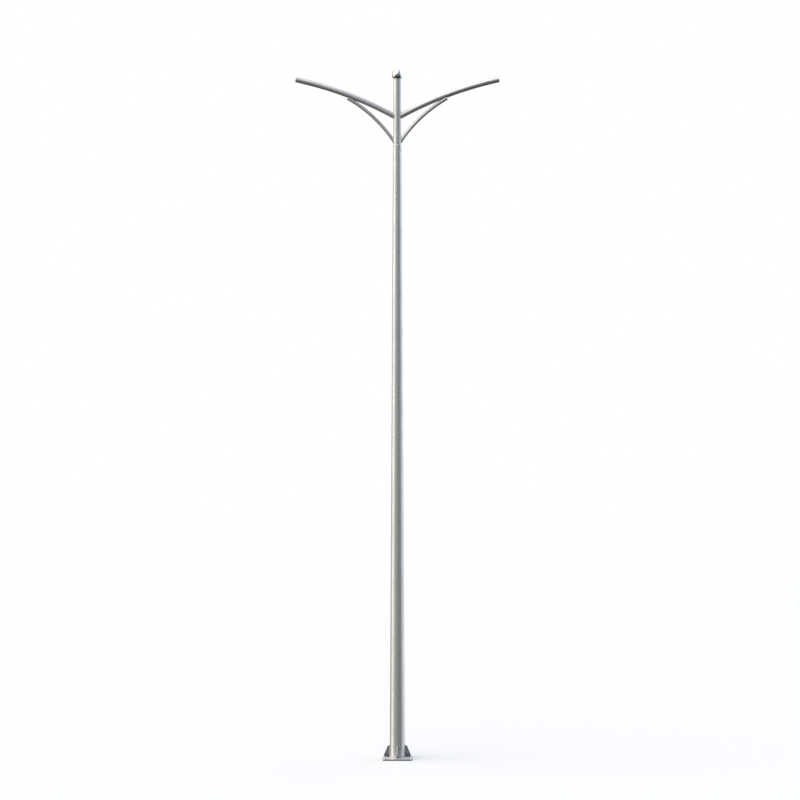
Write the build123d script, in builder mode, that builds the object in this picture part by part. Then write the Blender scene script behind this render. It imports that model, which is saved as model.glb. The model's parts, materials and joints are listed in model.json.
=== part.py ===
"""Twin-arm street lamp post: a tapered steel shaft on a flanged base, a straight head tube with two
curved arms and their braces, a ball on top, and a service door with its lock and wiring board at the back.

Millimetres. Z is up, the ground is Z = 0, the arms lie along X, and the service door faces +Y.
"""
import os
from math import asin, atan2, cos, degrees, hypot, radians, sin, sqrt

from build123d import *

os.makedirs("parts", exist_ok=True)

# ---------------------------------------------------------------- driving dimensions
# base
plate_side = 400.0
plate_thickness = 20.0
plate_corner_radius = 25.0
plate_edge_chamfer = 1.5
anchor_spacing = 300.0
anchor_hole_diameter = 28.0
cable_hole_diameter = 130.0
gusset_thickness = 12.0
gusset_height = 160.0
gusset_top_land = 26.0          # flat top of a gusset, out from the shaft
gusset_nose_height = 40.0
gusset_nose_setback = 18.0      # nose of a gusset, back from the plate's edge
gusset_weld_notch = 15.0

# shaft
shaft_top_height = 8450.0       # rim that carries the head
shaft_base_diameter = 210.0
shaft_wall = 4.0
bottom_length_top = 1500.0      # weld between the shaft's bottom and middle lengths
middle_length_top = 4900.0      # weld between its middle and top lengths

# head tube and its joint with the shaft
head_tube_diameter = 108.0
head_tube_wall = 4.0
head_rise = 910.0               # head tube above the rim
spigot_length = 300.0           # head tube below the rim, inside the shaft
spigot_clearance = 2.0
seat_ring_height = 8.0
seat_ring_chamfer = 2.0
grub_screw_diameter = 12.0
grub_screw_key = 6.0            # across the flats of the hexagon socket
grub_screw_socket_depth = 3.0
grub_screw_rows = (60.0, 240.0)  # below the rim
grub_screws_per_row = 3
thread_clearance = 0.05

# arms
arm_diameter = 76.1
arm_wall = 4.0
arm_root_rise = 386.0           # where the arm's centre line meets the post's, above the rim
arm_root_angle = 29.0           # above the horizontal
arm_bend_radius = 5140.0
arm_reach = 1400.0              # post's centre line to the end of the arm's centre line
arm_spigot_length = 120.0       # straight end that a lantern slides over
arm_cable_hole_diameter = 50.0

# braces
brace_diameter = 48.3
brace_wall = 3.0
brace_foot_rise = 72.0          # where the brace's centre line meets the head tube, above the rim
brace_bend_radius = 1888.0
brace_reach = 684.0             # post's centre line to the end of the brace, along X
brace_bite = 19.0               # how far the brace's end is let into the arm's underside
brace_end_thickness = 5.0       # closed end

# ball on top
ball_diameter = 150.0
ball_wall = 2.0
ball_seat_drop = 57.0           # centre of the ball down to its flat seat
cap_thickness = 8.0
cap_plug_depth = 15.0
cap_plug_wall = 5.0
cap_chamfer = 1.5
ball_stud_diameter = 12.0
ball_stud_flange_diameter = 30.0
ball_stud_flange_thickness = 4.0
ball_stud_above_seat = 25.0
ball_stud_below_cap = 18.0
ball_nut_flats = 19.0
ball_nut_height = 10.0
fastener_clearance = 0.3

# service door
door_centre_height = 1000.0
opening_width = 90.0
opening_height = 350.0
opening_corner_radius = 20.0
door_frame_wall = 5.0
door_frame_bite = 5.0           # door frame's inner end, inside the shaft wall at its sides
door_lap = 15.0                 # door past the opening, all round
door_gap = 2.0                  # shaft to the door's inner face
door_thickness = 3.0
door_edge_chamfer = 0.8
seal_width = 8.0
seal_gap = 0.3                  # shaft to the seal with the door shut

# door hinges
hinge_barrel_diameter = 12.0
hinge_pin_diameter = 6.0
hinge_surface_gap = 1.0         # shaft to a hinge barrel
hinge_edge_gap = 1.5            # door's edge to a hinge barrel
hinge_spread = 240.0            # between the two hinges
fixed_knuckle_length = 18.0
door_knuckle_length = 23.0
knuckle_gap = 0.5
hinge_leaf_thickness = 3.0
hinge_leaf_width = 20.0
hinge_leaf_clearance = 0.8      # a leaf to the other half's barrel
hinge_pin_head_diameter = 9.0
hinge_pin_head_height = 2.0
hinge_pin_head_gap = 0.2
running_clearance = 0.05

# door lock
lock_bush_diameter = 20.0
lock_flange_diameter = 28.0
lock_flange_height = 3.5
lock_key_recess_diameter = 15.0
lock_key_recess_depth = 8.0
lock_key_side = 9.0             # side of the triangular key head
lock_key_height = 6.0
lock_spindle_diameter = 10.0
lock_nut_flats = 27.0
lock_nut_height = 6.0
lock_neck_side = 7.0
cam_width = 14.0
cam_thickness = 3.5
cam_overlap = 7.0               # cam past the opening's edge when locked
cam_corner_radius = 3.5
cam_frame_gap = 0.5
cam_screw_diameter = 5.0
cam_screw_head_diameter = 12.0
cam_screw_head_height = 3.0
cam_screw_length = 12.0

# wiring board inside the shaft, behind the door
board_width = 100.0
board_height = 290.0
board_thickness = 4.0
board_face_y = -20.0
bracket_height = 25.0
bracket_thickness = 5.0
bracket_spread = 240.0
board_screw_diameter = 5.0
board_screw_head_diameter = 9.0
board_screw_head_height = 3.0
board_screw_spread = 70.0
rail_width = 90.0
rail_height = 35.0
rail_depth = 7.5
rail_sheet = 1.0
rail_channel_height = 27.0
breaker_rise = 60.0             # centre of the rail above the door's centre
breaker_width = 36.0
breaker_height = 80.0
breaker_depth = 44.0
breaker_nose_height = 45.0
breaker_nose_depth = 16.0
breaker_edge_chamfer = 1.5
toggle_width = 28.0
toggle_pivot_radius = 8.0
toggle_pivot_depth = 3.0        # pivot inside the breaker's nose
toggle_pocket_clearance = 0.4
toggle_lever_length = 16.0
toggle_lever_thickness = 4.0
toggle_on_angle = 35.0          # lever above the horizontal when switched on
terminal_ways = 4
terminal_pitch = 20.0
terminal_height = 40.0
terminal_depth = 26.0
terminal_drop = 75.0            # centre of the terminal block below the door's centre
terminal_end_margin = 3.0
terminal_wire_hole_diameter = 9.0
terminal_screw_diameter = 8.0
terminal_screw_depth = 8.0
terminal_slot_width = 1.4
terminal_slot_depth = 1.5
terminal_screw_offset = 11.0
earth_stud_diameter = 8.0
earth_stud_length = 28.0
earth_stud_chamfer = 1.0
earth_nut_flats = 13.0
earth_nut_height = 6.5
earth_washer_diameter = 17.0
earth_washer_thickness = 1.6
earth_lug_space = 3.0           # between the two washers, for a cable lug

# ---------------------------------------------------------------- derived places
shaft_top_diameter = head_tube_diameter + 2 * (spigot_clearance + shaft_wall)
shaft_taper = (shaft_base_diameter - shaft_top_diameter) / (shaft_top_height - plate_thickness) / 2
head_top_height = shaft_top_height + head_rise
cap_top_height = head_top_height + cap_thickness
ball_centre_height = cap_top_height + ball_seat_drop


def shaft_radius(height):
    """Outer radius of the shaft at a height above the ground."""
    return shaft_base_diameter / 2 - shaft_taper * (height - plate_thickness)


def depth_at(radius, across):
    """Distance from the post's centre line to a round surface, seen square on, at an offset across it."""
    return sqrt(radius**2 - across**2)


def export(piece, name):
    """Name a finished piece and write it to its own file."""
    piece.part.label = name
    export_step(piece.part, f"parts/{name}.step")


def shaft_skin(gap, thickness, low, high):
    """Ring that wraps the shaft between two heights, following its taper at a gap from its surface."""
    with BuildPart() as skin:
        with BuildSketch(Plane.XZ):
            with BuildLine():
                Polyline(
                    (shaft_radius(low) + gap, low),
                    (shaft_radius(low) + gap + thickness, low),
                    (shaft_radius(high) + gap + thickness, high),
                    (shaft_radius(high) + gap, high),
                    close=True,
                )
            make_face()
        revolve(axis=Axis.Z)
    return skin.part


def shaft_core(offset, low, high):
    """Solid cone between two heights, following the shaft's outer surface at an offset."""
    with BuildPart() as core:
        with BuildSketch(Plane.XZ):
            with BuildLine():
                Polyline(
                    (0, low),
                    (shaft_radius(low) + offset, low),
                    (shaft_radius(high) + offset, high),
                    (0, high),
                    close=True,
                )
            make_face()
        revolve(axis=Axis.Z)
    return core.part


def rear_plane(depth, height=door_centre_height, across=0.0):
    """Upright plane that faces the back of the post, with its own Y axis pointing up."""
    return Plane(origin=(across, depth, height), x_dir=(-1, 0, 0), z_dir=(0, 1, 0))


def side_plane(depth, height):
    """Upright plane that faces right, across the middle of the post, with its own X axis to the back."""
    return Plane(origin=(0, depth, height), x_dir=(0, 1, 0), z_dir=(1, 0, 0))


def swept_rod(path, diameter):
    """Round bar along a path: a tube's outside, or its bore."""
    with BuildPart() as rod:
        with BuildSketch(Plane(origin=path @ 0, z_dir=path % 0)):
            Circle(diameter / 2)
        sweep(path=path)
    return rod.part


# ---------------------------------------------------------------- base plate
with BuildPart() as base_plate:
    with BuildSketch():
        RectangleRounded(plate_side, plate_side, plate_corner_radius)
        Circle(cable_hole_diameter / 2, mode=Mode.SUBTRACT)
        with GridLocations(anchor_spacing, anchor_spacing, 2, 2):
            Circle(anchor_hole_diameter / 2, mode=Mode.SUBTRACT)
    extrude(amount=plate_thickness)
    chamfer(base_plate.faces().sort_by(Axis.Z)[-1].outer_wire().edges(), plate_edge_chamfer)
export(base_plate, "base_plate")

# ---------------------------------------------------------------- gussets
gusset_nose_radius = plate_side / 2 - gusset_nose_setback
gusset_top_height = plate_thickness + gusset_height
gusset_top_radius = shaft_radius(gusset_top_height) + gusset_top_land
gusset_root_radius = shaft_radius(plate_thickness)
shaft_foot = shaft_core(0, 0, gusset_top_height + gusset_thickness)

with BuildPart() as gusset_right:
    with BuildSketch(Plane.XZ):
        with BuildLine():
            Polyline(
                (gusset_root_radius + gusset_weld_notch, plate_thickness),
                (gusset_nose_radius, plate_thickness),
                (gusset_nose_radius, plate_thickness + gusset_nose_height),
                (gusset_top_radius, gusset_top_height),
                (gusset_root_radius - gusset_weld_notch, gusset_top_height),
                (gusset_root_radius - gusset_weld_notch, plate_thickness + gusset_weld_notch),
                (gusset_root_radius, plate_thickness + gusset_weld_notch),
                close=True,
            )
        make_face()
    extrude(amount=gusset_thickness / 2, both=True)
    add(shaft_foot, mode=Mode.SUBTRACT)
export(gusset_right, "gusset_right")

for gusset_name, gusset_turn in (("gusset_rear", 90), ("gusset_left", 180), ("gusset_front", 270)):
    with BuildPart() as gusset:
        add(gusset_right.part, rotation=(0, 0, gusset_turn))
    export(gusset, gusset_name)

# ---------------------------------------------------------------- shaft
frame_width = opening_width + 2 * door_frame_wall
frame_height = opening_height + 2 * door_frame_wall
frame_corner_radius = opening_corner_radius + door_frame_wall

grub_screw_angles = [90 + 360 / grub_screws_per_row * turn for turn in range(grub_screws_per_row)]
grub_screw_places = [(row, angle) for row in grub_screw_rows for angle in grub_screw_angles]


def radial_plane(height, angle, radius=0.0):
    """Plane at a radius from the post's centre line, facing outwards at an angle about it."""
    outward = (cos(radians(angle)), sin(radians(angle)), 0)
    return Plane(
        origin=(radius * outward[0], radius * outward[1], height),
        x_dir=(-outward[1], outward[0], 0),
        z_dir=outward,
    )


# The shaft is rolled in three lengths, which are butt welded and ground flush.
with BuildPart() as shaft_bottom:
    add(shaft_skin(-shaft_wall, shaft_wall, plate_thickness, bottom_length_top))
    with BuildSketch(rear_plane(0)):
        RectangleRounded(frame_width, frame_height, frame_corner_radius)
    extrude(amount=shaft_base_diameter, mode=Mode.SUBTRACT)
export(shaft_bottom, "shaft_bottom")

with BuildPart() as shaft_middle:
    add(shaft_skin(-shaft_wall, shaft_wall, bottom_length_top, middle_length_top))
export(shaft_middle, "shaft_middle")

with BuildPart() as shaft_top:
    add(shaft_skin(-shaft_wall, shaft_wall, middle_length_top, shaft_top_height))
    for row, angle in grub_screw_places:
        with BuildSketch(radial_plane(shaft_top_height - row, angle)):
            Circle(grub_screw_diameter / 2)
        extrude(amount=shaft_base_diameter, mode=Mode.SUBTRACT)
export(shaft_top, "shaft_top")

# ---------------------------------------------------------------- head tube, its seat and its grub screws
arm_root_height = shaft_top_height + arm_root_rise

with BuildPart() as head_tube:
    with BuildSketch(Plane.XY.offset(shaft_top_height - spigot_length)):
        Circle(head_tube_diameter / 2)
        Circle(head_tube_diameter / 2 - head_tube_wall, mode=Mode.SUBTRACT)
    extrude(amount=spigot_length + head_rise)
    for side in (-1, 1):
        root_direction = (side * cos(radians(arm_root_angle)), 0, sin(radians(arm_root_angle)))
        with BuildSketch(Plane(origin=(0, 0, arm_root_height), z_dir=root_direction)):
            Circle(arm_cable_hole_diameter / 2)
        extrude(amount=head_tube_diameter, mode=Mode.SUBTRACT)
export(head_tube, "head_tube")

with BuildPart() as seat_ring:
    with BuildSketch(Plane.XY.offset(shaft_top_height)):
        Circle(shaft_top_diameter / 2)
        Circle(head_tube_diameter / 2, mode=Mode.SUBTRACT)
    extrude(amount=seat_ring_height)
    chamfer(seat_ring.faces().sort_by(Axis.Z)[-1].outer_wire().edges(), seat_ring_chamfer)
export(seat_ring, "seat_ring")

with BuildPart() as head_grub_screws:
    for row, angle in grub_screw_places:
        screw_height = shaft_top_height - row
        screw_end = shaft_radius(screw_height)
        with BuildSketch(radial_plane(screw_height, angle, head_tube_diameter / 2)):
            Circle(grub_screw_diameter / 2 - thread_clearance)
        extrude(amount=screw_end - head_tube_diameter / 2)
        with BuildSketch(radial_plane(screw_height, angle, screw_end - grub_screw_socket_depth)):
            RegularPolygon(grub_screw_key / 2, 6, major_radius=False)
        extrude(amount=grub_screw_socket_depth, mode=Mode.SUBTRACT)
export(head_grub_screws, "head_grub_screws")

# ---------------------------------------------------------------- arms
# The arm's centre line leaves the post at its root angle, flattens along an arc, and ends straight.
# The angle left at the end of the arc is the one that brings the spigot's end out to the arm's reach.
arm_start = (0, arm_root_height)
arm_root_tangent = (cos(radians(arm_root_angle)), sin(radians(arm_root_angle)))
arm_arc_centre = (
    arm_bend_radius * sin(radians(arm_root_angle)),
    arm_root_height - arm_bend_radius * cos(radians(arm_root_angle)),
)
arm_end_distance = hypot(arm_bend_radius, arm_spigot_length)
arm_end_angle = degrees(
    atan2(arm_spigot_length, arm_bend_radius) + asin((arm_arc_centre[0] - arm_reach) / arm_end_distance)
)

with BuildLine(Plane.XZ) as arm_line:
    arm_arc = JernArc(arm_start, arm_root_tangent, arm_bend_radius, arm_end_angle - arm_root_angle)
    PolarLine(arm_arc @ 1, arm_spigot_length, arm_end_angle)

arm_outside = swept_rod(arm_line.line, arm_diameter)
arm_bore = swept_rod(arm_line.line, arm_diameter - 2 * arm_wall)

with BuildPart() as head_core:
    with BuildSketch(Plane.XY.offset(shaft_top_height - spigot_length)):
        Circle(head_tube_diameter / 2)
    extrude(amount=spigot_length + head_rise)

with BuildPart() as arm_right:
    add(arm_outside)
    add(arm_bore, mode=Mode.SUBTRACT)
    add(head_core.part, mode=Mode.SUBTRACT)
export(arm_right, "arm_right")

with BuildPart() as arm_left:
    mirror(arm_right.part, about=Plane.YZ)
export(arm_left, "arm_left")

# ---------------------------------------------------------------- braces
# The brace is one arc, from its foot on the head tube to a point under the arm's arc.
brace_foot = (head_tube_diameter / 2, shaft_top_height + brace_foot_rise)
brace_end_distance = arm_bend_radius - (arm_diameter + brace_diameter) / 2 + brace_bite
brace_end_angle = asin((arm_arc_centre[0] - brace_reach) / brace_end_distance)
brace_end = (brace_reach, arm_arc_centre[1] + brace_end_distance * cos(brace_end_angle))
brace_chord = (brace_end[0] - brace_foot[0], brace_end[1] - brace_foot[1])
brace_chord_length = hypot(*brace_chord)
brace_centre_offset = sqrt(brace_bend_radius**2 - (brace_chord_length / 2) ** 2) / brace_chord_length
brace_arc_centre = (
    (brace_foot[0] + brace_end[0]) / 2 + brace_chord[1] * brace_centre_offset,
    (brace_foot[1] + brace_end[1]) / 2 - brace_chord[0] * brace_centre_offset,
)


def brace_path(start_across, end_across):
    """Arc along the brace's centre line between two distances from the post's centre line."""
    start, end = (
        degrees(asin((brace_arc_centre[0] - across) / brace_bend_radius))
        for across in (start_across, end_across)
    )
    with BuildLine(Plane.XZ) as path:
        CenterArc(brace_arc_centre, brace_bend_radius, 90 + start, end - start)
    return path.line


brace_outside = swept_rod(brace_path(0, brace_reach), brace_diameter)
brace_bore = swept_rod(brace_path(0, brace_reach - brace_end_thickness), brace_diameter - 2 * brace_wall)

with BuildPart() as brace_right:
    add(brace_outside)
    add(brace_bore, mode=Mode.SUBTRACT)
    add(head_core.part, mode=Mode.SUBTRACT)
    add(arm_outside, mode=Mode.SUBTRACT)
export(brace_right, "brace_right")

with BuildPart() as brace_left:
    mirror(brace_right.part, about=Plane.YZ)
export(brace_left, "brace_left")

# ---------------------------------------------------------------- cap and ball
cap_plug_radius = head_tube_diameter / 2 - head_tube_wall - fastener_clearance

with BuildPart() as finial_cap:
    with BuildSketch(Plane.XY.offset(head_top_height)):
        Circle(head_tube_diameter / 2)
    extrude(amount=cap_thickness)
    chamfer(finial_cap.faces().sort_by(Axis.Z)[-1].edges(), cap_chamfer)
    with BuildSketch(Plane.XY.offset(head_top_height)):
        Circle(cap_plug_radius)
        Circle(cap_plug_radius - cap_plug_wall, mode=Mode.SUBTRACT)
    extrude(amount=-cap_plug_depth)
    with BuildSketch(Plane.XY.offset(head_top_height)):
        Circle(ball_stud_diameter / 2 + fastener_clearance)
    extrude(amount=cap_thickness, mode=Mode.SUBTRACT)
export(finial_cap, "finial_cap")

with BuildPart() as finial_ball:
    with BuildSketch(Plane(origin=(0, 0, ball_centre_height), x_dir=(1, 0, 0), z_dir=(0, -1, 0))):
        Circle(ball_diameter / 2)
        Circle(ball_diameter / 2 - ball_wall, mode=Mode.SUBTRACT)
        with Locations((0, ball_wall - ball_seat_drop)):
            Rectangle(2 * depth_at(ball_diameter / 2 - ball_wall, ball_seat_drop - ball_wall), ball_wall,
                      align=(Align.CENTER, Align.MAX))
        with Locations((0, -ball_seat_drop)):
            Rectangle(ball_diameter, 2 * ball_diameter, align=(Align.MIN, Align.MIN), mode=Mode.INTERSECT)
    revolve(axis=Axis.Z)
    with BuildSketch(Plane.XY.offset(cap_top_height)):
        Circle(ball_stud_diameter / 2 + fastener_clearance)
    extrude(amount=ball_wall, mode=Mode.SUBTRACT)
export(finial_ball, "finial_ball")

with BuildPart() as finial_stud:
    with BuildSketch(Plane.XY.offset(head_top_height - ball_stud_below_cap)):
        Circle(ball_stud_diameter / 2)
    extrude(amount=ball_stud_below_cap + cap_thickness + ball_stud_above_seat)
    with BuildSketch(Plane.XY.offset(cap_top_height + ball_wall)):
        Circle(ball_stud_flange_diameter / 2)
    extrude(amount=ball_stud_flange_thickness)
export(finial_stud, "finial_stud")

with BuildPart() as finial_nut:
    with BuildSketch(Plane.XY.offset(head_top_height - ball_nut_height)):
        RegularPolygon(ball_nut_flats / 2, 6, major_radius=False)
        Circle(ball_stud_diameter / 2 + thread_clearance, mode=Mode.SUBTRACT)
    extrude(amount=ball_nut_height)
export(finial_nut, "finial_nut")

# ---------------------------------------------------------------- door frame
door_centre_radius = shaft_radius(door_centre_height)
frame_end_depth = depth_at(door_centre_radius - shaft_wall, frame_width / 2) - door_frame_bite
door_low = door_centre_height - opening_height / 2 - door_lap
door_high = door_centre_height + opening_height / 2 + door_lap
door_width = opening_width + 2 * door_lap

with BuildPart() as door_frame:
    with BuildSketch(rear_plane(frame_end_depth)):
        RectangleRounded(frame_width, frame_height, frame_corner_radius)
        RectangleRounded(opening_width, opening_height, opening_corner_radius, mode=Mode.SUBTRACT)
    extrude(amount=door_centre_radius)
    add(shaft_core(0, door_low - door_lap, door_high + door_lap), mode=Mode.INTERSECT)
export(door_frame, "door_frame")

# ---------------------------------------------------------------- door panel and its seal
door_face_radius = door_centre_radius + door_gap + door_thickness
lock_hole_radius = lock_bush_diameter / 2 + fastener_clearance

with BuildPart() as door_panel:
    add(shaft_skin(door_gap, door_thickness, door_low - door_lap, door_high + door_lap))
    with BuildSketch(rear_plane(0)):
        RectangleRounded(door_width, opening_height + 2 * door_lap, opening_corner_radius + door_lap)
    extrude(amount=2 * door_centre_radius, mode=Mode.INTERSECT)
    with BuildSketch(rear_plane(0)):
        Circle(lock_hole_radius)
    extrude(amount=2 * door_centre_radius, mode=Mode.SUBTRACT)
export(door_panel, "door_panel")

with BuildPart() as door_seal:
    add(shaft_skin(seal_gap, door_gap - seal_gap, door_low, door_high))
    with BuildSketch(rear_plane(0)):
        RectangleRounded(
            frame_width + 2 * seal_width, frame_height + 2 * seal_width, frame_corner_radius + seal_width
        )
        RectangleRounded(frame_width, frame_height, frame_corner_radius, mode=Mode.SUBTRACT)
    extrude(amount=2 * door_centre_radius, mode=Mode.INTERSECT)
export(door_seal, "door_seal")

# ---------------------------------------------------------------- door hinges
# The hinge line runs along the shaft's slope, beside the door's edge and just off the shaft's surface.
hinge_barrel_radius = hinge_barrel_diameter / 2
hinge_offset = hinge_surface_gap + hinge_barrel_radius
hinge_across = door_width / 2 + hinge_edge_gap + hinge_barrel_radius
hinge_azimuth = 90 + degrees(asin(hinge_across / (door_centre_radius + hinge_offset)))


def hinge_point(height):
    """Point of the hinge line at a height above the ground."""
    radius = shaft_radius(height) + hinge_offset
    return Vector(radius * cos(radians(hinge_azimuth)), radius * sin(radians(hinge_azimuth)), height)


hinge_axis = (hinge_point(door_high) - hinge_point(door_low)).normalized()


def hinge_plane(low, along=0.0):
    """Plane square to the hinge line, at a distance along it from the point at a height."""
    return Plane(origin=hinge_point(low) + hinge_axis * along, z_dir=hinge_axis)


hinge_bore_radius = hinge_pin_diameter / 2 + running_clearance
hinge_length = 2 * fixed_knuckle_length + door_knuckle_length + 2 * knuckle_gap
hinge_lows = [door_centre_height + place * hinge_spread / 2 - hinge_length / 2 for place in (-1, 1)]
knuckle_steps = (0, fixed_knuckle_length + knuckle_gap, hinge_length - fixed_knuckle_length)


def knuckle_bore():
    """Bores for both hinge pins, along the hinge line."""
    with BuildPart() as bore:
        for low in hinge_lows:
            with BuildSketch(hinge_plane(low, -hinge_length / 2)):
                Circle(hinge_bore_radius)
            extrude(amount=2 * hinge_length)
    return bore.part


def knuckle(low, step, length):
    """Outside of one hinge barrel, a step up the hinge line from the hinge's lower end."""
    with BuildPart() as barrel:
        with BuildSketch(hinge_plane(low, step)):
            Circle(hinge_barrel_radius)
        extrude(amount=length)
    return barrel.part


def hinge_leaf(gap, low, length, near, far):
    """Curved leaf at a gap from the shaft, between two arc lengths from the hinge line.

    Arc lengths are positive away from the door.
    """
    per_degree = radians(1) * (door_centre_radius + gap)
    reach = 2 * door_centre_radius
    with BuildPart() as leaf:
        add(shaft_skin(gap, hinge_leaf_thickness, low, low + length))
        with BuildSketch(Plane.XY.offset(low)):
            with BuildLine():
                Polyline(
                    (0, 0),
                    *[
                        (reach * cos(radians(hinge_azimuth + arc / per_degree)),
                         reach * sin(radians(hinge_azimuth + arc / per_degree)))
                        for arc in (near, far)
                    ],
                    close=True,
                )
            make_face()
        extrude(amount=length, mode=Mode.INTERSECT)
    return leaf.part


leaf_start = hinge_barrel_radius + hinge_leaf_clearance
leaf_end = leaf_start + hinge_leaf_width
door_leaf_gap = door_gap + door_thickness

with BuildPart() as hinge_fixed_leaves:
    for low in hinge_lows:
        add(hinge_leaf(0, low, hinge_length, leaf_start, leaf_end))
        for step in (knuckle_steps[0], knuckle_steps[2]):
            add(hinge_leaf(0, low + step, fixed_knuckle_length, 0, leaf_start))
            add(knuckle(low, step, fixed_knuckle_length))
    add(knuckle_bore(), mode=Mode.SUBTRACT)
export(hinge_fixed_leaves, "hinge_fixed_leaves")

with BuildPart() as hinge_door_leaves:
    for low in hinge_lows:
        add(hinge_leaf(door_leaf_gap, low, hinge_length, -leaf_end, -leaf_start))
        add(hinge_leaf(door_leaf_gap, low + knuckle_steps[1], door_knuckle_length, -leaf_start, 0))
        add(knuckle(low, knuckle_steps[1], door_knuckle_length))
    add(knuckle_bore(), mode=Mode.SUBTRACT)
export(hinge_door_leaves, "hinge_door_leaves")

with BuildPart() as hinge_pins:
    for low in hinge_lows:
        with BuildSketch(hinge_plane(low, -hinge_pin_head_gap)):
            Circle(hinge_pin_diameter / 2)
        extrude(amount=hinge_length + 2 * hinge_pin_head_gap)
        for along, way in ((-hinge_pin_head_gap, -1), (hinge_length + hinge_pin_head_gap, 1)):
            with BuildSketch(hinge_plane(low, along)):
                Circle(hinge_pin_head_diameter / 2)
            extrude(amount=way * hinge_pin_head_height)
export(hinge_pins, "hinge_pins")

# ---------------------------------------------------------------- door lock
lock_face_depth = depth_at(door_face_radius, lock_flange_diameter / 2)
lock_front_depth = door_face_radius + lock_flange_height
lock_nut_depth = depth_at(door_face_radius - door_thickness, lock_nut_flats / sqrt(3)) - fastener_clearance
cam_front_depth = frame_end_depth - cam_frame_gap
cam_back_depth = cam_front_depth - cam_thickness
cam_length = opening_width / 2 + cam_overlap
lock_bush_end_depth = lock_nut_depth - lock_nut_height - cam_screw_head_height

with BuildPart() as lock_bush:
    with BuildSketch(rear_plane(lock_bush_end_depth)):
        Circle(lock_bush_diameter / 2)
    extrude(amount=lock_front_depth - lock_bush_end_depth)
    with BuildSketch(rear_plane(lock_face_depth)):
        Circle(lock_flange_diameter / 2)
    extrude(amount=lock_front_depth - lock_face_depth)
    chamfer(lock_bush.faces().sort_by(Axis.Y)[-1].outer_wire().edges(), door_edge_chamfer)
    with BuildSketch(rear_plane(lock_front_depth)):
        Circle(lock_key_recess_diameter / 2)
    extrude(amount=-lock_key_recess_depth, mode=Mode.SUBTRACT)
    with BuildSketch(rear_plane(lock_bush_end_depth)):
        Circle(lock_spindle_diameter / 2 + running_clearance)
    extrude(amount=lock_front_depth - lock_bush_end_depth, mode=Mode.SUBTRACT)
    add(door_panel.part, mode=Mode.SUBTRACT)
export(lock_bush, "lock_bush")

with BuildPart() as lock_bush_nut:
    with BuildSketch(rear_plane(lock_nut_depth)):
        RegularPolygon(lock_nut_flats / 2, 6, major_radius=False)
        Circle(lock_bush_diameter / 2 + thread_clearance, mode=Mode.SUBTRACT)
    extrude(amount=-lock_nut_height)
export(lock_bush_nut, "lock_bush_nut")

lock_key_seat_depth = lock_front_depth - lock_key_recess_depth + running_clearance

with BuildPart() as lock_spindle:
    with BuildSketch(rear_plane(cam_front_depth)):
        Circle(lock_spindle_diameter / 2)
    extrude(amount=lock_key_seat_depth - cam_front_depth)
    with BuildSketch(rear_plane(lock_key_seat_depth)):
        RegularPolygon(lock_key_side / sqrt(3), 3)
    extrude(amount=lock_key_height)
    with BuildSketch(rear_plane(cam_back_depth)):
        Rectangle(lock_neck_side, lock_neck_side)
    extrude(amount=cam_thickness)
    with BuildSketch(rear_plane(cam_back_depth)):
        Circle(cam_screw_diameter / 2 + thread_clearance)
    extrude(amount=cam_screw_length, mode=Mode.SUBTRACT)
export(lock_spindle, "lock_spindle")

with BuildPart() as lock_cam:
    with BuildSketch(rear_plane(cam_front_depth)):
        Circle(cam_width / 2)
        Rectangle(cam_width, cam_length, align=(Align.CENTER, Align.MIN))
        Rectangle(lock_neck_side, lock_neck_side, mode=Mode.SUBTRACT)
    extrude(amount=-cam_thickness)
    fillet(lock_cam.edges().filter_by(Axis.Y).group_by(Axis.Z)[-1], cam_corner_radius)
export(lock_cam, "lock_cam")

with BuildPart() as lock_cam_screw:
    with BuildSketch(rear_plane(cam_back_depth)):
        Circle(cam_screw_diameter / 2)
    extrude(amount=cam_screw_length)
    with BuildSketch(rear_plane(cam_back_depth)):
        Circle(cam_screw_head_diameter / 2)
    extrude(amount=-cam_screw_head_height)
export(lock_cam_screw, "lock_cam_screw")

# ---------------------------------------------------------------- wiring board and its brackets
board_back_y = board_face_y - board_thickness
bracket_back_y = board_back_y - bracket_thickness
bracket_heights = [door_centre_height + place * bracket_spread / 2 for place in (-1, 1)]
board_screw_places = [(across, height) for height in bracket_heights for across in
                      (-board_screw_spread / 2, board_screw_spread / 2)]
shaft_hollow = shaft_core(-shaft_wall, door_low, door_high)

with BuildPart() as board_brackets:
    for height in bracket_heights:
        with BuildSketch(rear_plane(bracket_back_y, height)):
            Rectangle(shaft_base_diameter, bracket_height)
        extrude(amount=bracket_thickness)
    add(shaft_hollow, mode=Mode.INTERSECT)
    for across, height in board_screw_places:
        with BuildSketch(rear_plane(bracket_back_y, height, across)):
            Circle(board_screw_diameter / 2 + thread_clearance)
        extrude(amount=bracket_thickness, mode=Mode.SUBTRACT)
export(board_brackets, "board_brackets")

with BuildPart() as equipment_board:
    with BuildSketch(rear_plane(board_back_y)):
        RectangleRounded(board_width, board_height, board_thickness)
    extrude(amount=board_thickness)
    for across, height in board_screw_places:
        with BuildSketch(rear_plane(board_back_y, height, across)):
            Circle(board_screw_diameter / 2 + fastener_clearance)
        extrude(amount=board_thickness, mode=Mode.SUBTRACT)
export(equipment_board, "equipment_board")

with BuildPart() as board_screws:
    for across, height in board_screw_places:
        with BuildSketch(rear_plane(bracket_back_y, height, across)):
            Circle(board_screw_diameter / 2)
        extrude(amount=bracket_thickness + board_thickness)
        with BuildSketch(rear_plane(board_face_y, height, across)):
            Circle(board_screw_head_diameter / 2)
        extrude(amount=board_screw_head_height)
export(board_screws, "board_screws")

# ---------------------------------------------------------------- rail and circuit breaker
breaker_height_centre = door_centre_height + breaker_rise
breaker_back_y = board_face_y + rail_depth
rail_lip_height = (rail_height - rail_channel_height) / 2 + rail_sheet
rail_lip_offset = (rail_height - rail_lip_height) / 2

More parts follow.
